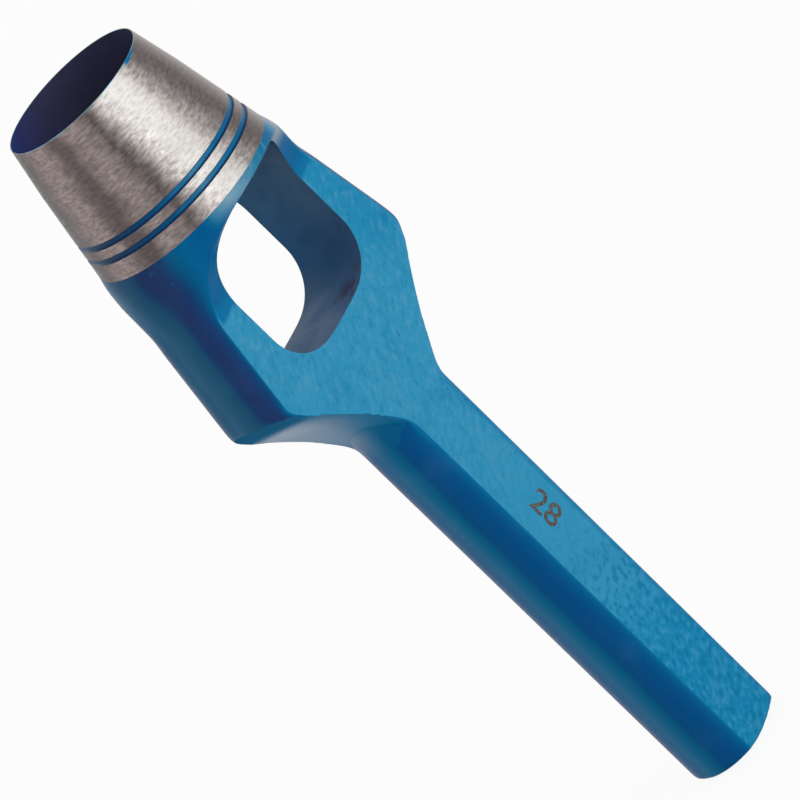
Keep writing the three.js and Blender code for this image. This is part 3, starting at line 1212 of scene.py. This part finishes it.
    def cheek_tool(self, side: int) -> Piece:
        """What is cut away below a shoulder and beside the neck.

        Args:
            side: 1 on the +X side, -1 on the other.

        Returns:
            The tool, a strip that follows the neck's curve and is thickened from front to back.
        """
        outside, path = self.cheek_outside, self.cheek_path()
        deselect_all()
        bpy.ops.mesh.primitive_plane_add(
            size=1,
            rotation=(math.pi / 2, 0, 0),
            location=(outside, -self.cheek_half_depth, FORGING.height(path[0][1])),
        )
        piece = name_piece(bpy.context.object, "cheek_tool")
        start_editing(piece)
        self.pull_vertices(piece, lambda p: p.x > outside, (outside, path[0][1]))
        self.pull_vertices(piece, lambda p: p.x < outside, path[0])
        bpy.ops.mesh.select_all(action="SELECT")
        bpy.ops.mesh.remove_doubles(threshold=NEAR)
        for across, depth in path[1:]:
            lowest = min(v.co.z for v in bmesh.from_edit_mesh(piece.data).verts)
            height = FORGING.height(depth)
            pick(piece, Element.VERTEX, lambda p, _: abs(p.z - lowest) < NEAR)
            extrude(0, 0, height - lowest)
            self.pull_vertices(
                piece,
                lambda p: abs(p.z - height) < NEAR and p.x < outside - 0.01,
                (across, depth),
            )
        bpy.ops.mesh.select_all(action="SELECT")
        extrude(0, 2 * self.cheek_half_depth, 0)
        bpy.ops.mesh.select_all(action="SELECT")
        if side < 0:
            bpy.ops.transform.resize(value=(-1, 1, 1), center_override=(0, 0, 0))
        bpy.ops.mesh.normals_make_consistent(inside=False)
        stop_editing()
        return piece

    def pull_vertices(
        self, piece: Piece, wanted: Callable[[Vector], bool], target: Station
    ) -> None:
        """Moves the wanted vertices across and along the axis to one target line.

        Args:
            piece: The piece, open in edit mode.
            wanted: Says of a place whether that vertex is moved.
            target: Where they go, across and deep.
        """
        pick(piece, Element.VERTEX, lambda p, _: wanted(p))
        mesh = bmesh.from_edit_mesh(piece.data)
        chosen = [v.co for v in mesh.verts if v.select]
        if not chosen:
            return
        middle = sum(chosen, Vector()) / len(chosen)
        bpy.ops.transform.resize(value=(0, 1, 0), center_override=tuple(middle))
        step = (target[0] - middle.x, 0, FORGING.height(target[1]) - middle.z)
        bpy.ops.transform.translate(value=step)

    def ramp_tool(self, side: int) -> Piece:
        """What is cut away in front of a flat: round-nosed, so that it leaves a hollow ramp.

        Args:
            side: 1 for the back flat, -1 for the front one.

        Returns:
            The tool.
        """
        centre_z = FORGING.height(FORGING.ramp_end)
        deselect_all()
        bpy.ops.mesh.primitive_cylinder_add(
            vertices=180,
            radius=FORGING.ramp_radius,
            depth=80,
            location=(0, side * (FORGING.half_blade + FORGING.ramp_radius), centre_z),
            rotation=(0, math.pi / 2, 0),
        )
        piece = name_piece(bpy.context.object, "ramp_tool")
        start_editing(piece)
        bpy.ops.mesh.bisect(
            plane_co=(0, 0, centre_z), plane_no=(0, 0, 1), use_fill=True, clear_inner=True
        )
        pick(piece, Element.FACE, lambda p, n: abs(p.z - centre_z) < 0.01 and abs(n.z) > 0.9)
        extrude(0, 0, -centre_z - self.below_face)
        face_outwards()
        pick(piece, Element.VERTEX, lambda p, _: p.z > 1)
        bpy.ops.transform.rotate(
            value=self.ramp_tilt,
            orient_axis="Y",
            center_override=(self.ramp_pivot, 0, centre_z),
        )
        stop_editing()
        return piece

    def bore_tool(self) -> Piece:
        """The bore as a solid: relief, throat and rounded bottom."""
        top = FORGING.crown_length - self.overrun - 1
        stations = [(FORGING.bore_radius(top), top)]
        throat_steps, bottom_steps = 8, 18
        for step in range(throat_steps + 1):
            share = step / throat_steps
            radius = mix(FORGING.relief_radius, FORGING.window_radius, smooth_step(share))
            stations.append((radius, FORGING.relief_length + FORGING.throat_length * share))
        bottom = FORGING.bore_bottom_radius
        for step in range(bottom_steps + 1):
            angle = step / bottom_steps * math.pi / 2
            radius = FORGING.window_radius - bottom * (1 - math.cos(angle))
            stations.append((radius, FORGING.bore_depth - bottom + bottom * math.sin(angle)))
        profile = [(radius, FORGING.height(depth)) for radius, depth in stations]
        return turn_profile("bore_tool", profile, self.blank_sides, hollow=False)

    def bar(self) -> Piece:
        """The held bar with its rounded sides, before the flats and the end are cut."""
        top, bottom = FORGING.height(FORGING.shoulder_depth), -3.0
        deselect_all()
        bpy.ops.mesh.primitive_cylinder_add(
            vertices=self.bar_sides,
            radius=self.bar_radius,
            depth=top - bottom,
            location=(0, 0, (top + bottom) / 2),
            rotation=(0, 0, math.pi / self.bar_sides),
        )
        piece = name_piece(bpy.context.object, "bar_blank")
        start_editing(piece)
        share = (FORGING.neck_end_depth - FORGING.shoulder_depth) / (top - bottom)
        taper = self.bar_neck_half_width - self.bar_end_half_width
        narrow = self.bar_radius - self.bar_neck_half_width - taper * share
        for side in (1, -1):
            pick(piece, Element.VERTEX, lambda p, _: side * p.x > 0)
            bpy.ops.transform.translate(value=(-side * narrow, 0, 0))
            pick(piece, Element.VERTEX, lambda p, _: side * p.x > 0.2 and p.z < 0)
            bpy.ops.transform.translate(value=(-side * taper * (1 + share), 0, 0))
        stop_editing()
        return piece

    def dome_tool(self) -> Piece:
        """What is cut off the bar's end to leave it slightly domed."""
        centre_z = math.sqrt(self.dome_radius**2 - self.struck_face_radius**2)
        deselect_all()
        bpy.ops.mesh.primitive_cylinder_add(
            vertices=64, radius=14, depth=14, location=(0, 0, -2)
        )
        piece = name_piece(bpy.context.object, "dome_tool")
        deselect_all()
        bpy.ops.mesh.primitive_uv_sphere_add(
            segments=160,
            ring_count=160,
            radius=self.dome_radius,
            location=(*self.dome_shift, centre_z),
        )
        combine(piece, name_piece(bpy.context.object, "dome_ball"), Cut.TAKE_AWAY)
        return piece

    def soften(self, piece: Piece) -> None:
        """Rounds the shoulders and the neck's end as forging does, softer from the edge out."""
        slope, (shoulder_x, shoulder_depth) = self.slope(), self.shoulder()

        def by_shoulder(place: Vector, _: Vector) -> bool:
            across, depth = abs(place.x), FORGING.depth(place)
            highest, lowest = self.corner_depths
            if across < self.corner_beyond or not highest < depth < lowest:
                return False
            edge_depth = shoulder_depth - slope * (across - shoulder_x)
            side_arc = math.sqrt(max(0.0, self.leg_side_radius**2 - place.y**2))
            edge_x = FORGING.leg_half_width(edge_depth) - self.leg_side_radius + side_arc
            corner_depth = shoulder_depth - slope * (edge_x - shoulder_x)
            wide = mix(*self.corner_widths, abs(place.y) / FORGING.half_blade)
            return math.hypot(across - edge_x, depth - corner_depth) < reach * wide

        def by_neck_end(place: Vector, _: Vector) -> bool:
            return abs(FORGING.depth(place) - FORGING.neck_end_depth) < reach * 1.2

        def by_neck(place: Vector, _: Vector) -> bool:
            below = FORGING.depth(place) - FORGING.neck_end_depth
            beside = abs(place.y) < self.neck_half_thickness and abs(place.x) > self.neck_beyond
            return self.neck_reach[0] < below < self.neck_reach[1] and beside

        def smooth(wanted: Wanted, repeat: int) -> None:
            pick(piece, Element.VERTEX, wanted)
            bpy.ops.mesh.vertices_smooth(factor=0.5, repeat=repeat)

        start_editing(piece)
        smooth(by_neck, self.neck_softening)
        for reach, corner_repeat, neck_repeat in self.softenings:
            smooth(by_shoulder, corner_repeat)
            smooth(by_neck_end, neck_repeat)
        stop_editing()

    def open_bore(self, piece: Piece) -> None:
        """Cuts the bore, which opens the window, and lays the lacquer, dull where it is so."""
        combine(piece, self.bore_tool(), Cut.TAKE_AWAY)

        def on_wall(place: Vector, normal: Vector) -> bool:
            depth = FORGING.depth(place)
            inward = place.x * normal.x + place.y * normal.y < -1
            at_bottom = depth > 45 and normal.z > 0.3
            return depth < FORGING.bore_depth + 0.1 and (inward or at_bottom)

        def in_hollow(place: Vector, normal: Vector) -> bool:
            level = abs(normal.y) < 0.45 and normal.z < -0.25
            return level and 50 < FORGING.depth(place) < FORGING.neck_end_depth - 2

        finishes = (
            BlueLacquer().build("blue_lacquer_finish"),
            WindowCoat().build(),
            BlueLacquer(shine=0.0).build("matt_lacquer_finish"),
        )
        lay_finishes(piece, finishes, on_wall, in_hollow)

    def cut_to_length(self, piece: Piece, depth: float, keep_above: bool) -> None:
        """Cuts a piece across at a depth and closes the cut."""
        start_editing(piece)
        bpy.ops.mesh.bisect(
            plane_co=(0, 0, FORGING.height(depth)),
            plane_no=(0, 0, 1),
            use_fill=True,
            clear_inner=keep_above,
            clear_outer=not keep_above,
        )
        stop_editing()

    def build(self) -> list[Piece]:
        """Returns the bow and the shank."""
        body = self.blank()
        for side in (1, -1):
            combine(body, self.cheek_tool(side), Cut.TAKE_AWAY)
        combine(body, self.bar(), Cut.JOIN)
        for side in (1, -1):
            combine(body, self.ramp_tool(side), Cut.TAKE_AWAY)
        combine(body, self.dome_tool(), Cut.TAKE_AWAY)
        apply_modifier(body, "REMESH", mode="VOXEL", voxel_size=self.voxel, use_smooth_shade=True)
        apply_modifier(body, "SMOOTH", factor=0.5, iterations=5)
        self.soften(body)
        self.open_bore(body)
        self.cut_to_length(body, FORGING.length, keep_above=True)
        take_up(body)
        bpy.ops.object.duplicate()
        shank = bpy.context.object
        self.cut_to_length(body, FORGING.neck_end_depth, keep_above=True)
        self.cut_to_length(body, FORGING.crown_length, keep_above=False)
        self.cut_to_length(shank, FORGING.neck_end_depth, keep_above=False)
        while len(shank.data.materials) > 1:
            shank.data.materials.pop()
        for piece, name, node in ((body, "bow_body", "arch"), (shank, "shank_body", "shank")):
            piece.name = name
            piece.data.name = name
            finish_mesh(piece, smooth_angle=45)
            mount_piece(piece, "blue_lacquer", node)
        return [body, shank]


@dataclass
class Studio:
    """The pale floor, the soft lamps and the camera.

    A lamp is its name, its place in metres, its side in metres and its power in watts.
    """

    floor_colour: Colour = srgb(250, 250, 250)
    floor_glow: float = 0.92
    floor_size: float = 40.0
    floor_height: float = -0.0002
    sky: float = 0.45
    aim: Point = (0, 0, 0.09)
    lamps: tuple[tuple[str, Point, float, float], ...] = (
        ("key_lamp", (0.15, -1.5, 0.55), 1.1, 13.0),
        ("side_lamp", (-1.4, 0.5, 0.5), 0.9, 3.0),
        ("back_lamp", (0.5, 1.4, 0.9), 0.8, 5.0),
    )
    camera_place: Point = (-1.2116, -1.3575, 0.6806)
    camera_right: Point = (0.37185, -0.63182, -0.68010)
    camera_up: Point = (0.67885, -0.31463, 0.66346)
    camera_forward: Point = (0.63317, 0.70839, -0.31191)
    lens: float = 529.48
    sensor: float = 36.0
    farthest: float = 100.0

    def build(self) -> None:
        """Sets up the floor, the world, the lamps and the camera."""
        self.lay_floor()
        self.light_world()
        self.hang_lamps()
        self.place_camera()

    def white_to_the_eye(self, tree: bpy.types.NodeTree) -> Socket:
        """A value of 1 for rays from the camera, from gloss and through glass, and 0 for light."""
        path = tree.nodes.new("ShaderNodeLightPath")
        share = path.outputs["Is Camera Ray"]
        for name in ("Is Glossy Ray", "Is Transmission Ray"):
            node = tree.nodes.new("ShaderNodeMath")
            node.operation = "MAXIMUM"
            tree.links.new(share, node.inputs[0])
            tree.links.new(path.outputs[name], node.inputs[1])
            share = node.outputs[0]
        return share

    def lay_floor(self) -> None:
        """Lays a plain pale floor under the struck face, which keeps the punch's shadow."""
        deselect_all()
        bpy.ops.mesh.primitive_plane_add(size=self.floor_size, location=(0, 0, self.floor_height))
        floor = name_piece(bpy.context.object, "studio_floor")
        material = bpy.data.materials.new("floor_finish")
        material.use_nodes = True
        tree = material.node_tree
        tree.nodes.clear()
        output, matt, glow, joined, share = (
            tree.nodes.new("ShaderNode" + kind)
            for kind in ("OutputMaterial", "BsdfDiffuse", "Emission", "MixShader", "Math")
        )
        matt.inputs["Color"].default_value = (*self.floor_colour, 1)
        glow.inputs["Strength"].default_value = 1.0
        share.operation = "MULTIPLY"
        share.inputs[1].default_value = self.floor_glow
        for source, target in (
            (self.white_to_the_eye(tree), share.inputs[0]),
            (share.outputs[0], joined.inputs[0]),
            (matt.outputs[0], joined.inputs[1]),
            (glow.outputs[0], joined.inputs[2]),
            (joined.outputs[0], output.inputs["Surface"]),
        ):
            tree.links.new(source, target)
        floor.data.materials.append(material)

    def light_world(self) -> None:
        """Gives the world an even pale light, white where it is seen."""
        world = bpy.data.worlds.new("studio_world")
        world.use_nodes = True
        tree = world.node_tree
        background = tree.nodes["Background"]
        background.inputs["Color"].default_value = (1, 1, 1, 1)
        strength = tree.nodes.new("ShaderNodeMapRange")
        strength.inputs["To Min"].default_value = self.sky
        strength.inputs["To Max"].default_value = 1.0
        tree.links.new(self.white_to_the_eye(tree), strength.inputs["Value"])
        tree.links.new(strength.outputs["Result"], background.inputs["Strength"])
        bpy.context.scene.world = world

    def hang_lamps(self) -> None:
        """Hangs the soft lamps, which face the middle of the punch."""
        for name, place, size, power in self.lamps:
            deselect_all()
            bpy.ops.object.light_add(type="AREA", location=place)
            lamp = bpy.context.object
            lamp.name = name
            lamp.data.size = size
            lamp.data.energy = power
            aim = Vector(self.aim) - Vector(place)
            lamp.rotation_euler = aim.to_track_quat("-Z", "Y").to_euler()

    def place_camera(self) -> None:
        """Places the camera at the picture's viewing angle and roll."""
        deselect_all()
        bpy.ops.object.camera_add()
        camera = bpy.context.object
        camera.name = "studio_camera"
        camera.data.lens = self.lens
        camera.data.sensor_width = self.sensor
        camera.data.sensor_fit = "HORIZONTAL"
        camera.data.clip_end = self.farthest
        backward = -Vector(self.camera_forward)
        axes = [Vector(self.camera_right), Vector(self.camera_up), backward]
        matrix = Matrix([axis.normalized() for axis in axes]).transposed().to_4x4()
        matrix.translation = Vector(self.camera_place)
        camera.matrix_world = matrix
        bpy.context.scene.camera = camera


def main() -> None:
    """Builds the punch and its studio, and reports each piece."""
    logging.basicConfig(level=logging.INFO, format="%(message)s")
    bpy.context.scene.view_settings.view_transform = "Standard"
    pieces = [CuttingCrown().build(), *LacqueredForging().build(), SizeMark().build()]
    Studio().build()
    for piece in pieces:
        LOG.info("%s reaches %s", piece.name, [round(v, 5) for v in piece.dimensions])


if __name__ == "__main__":
    main()
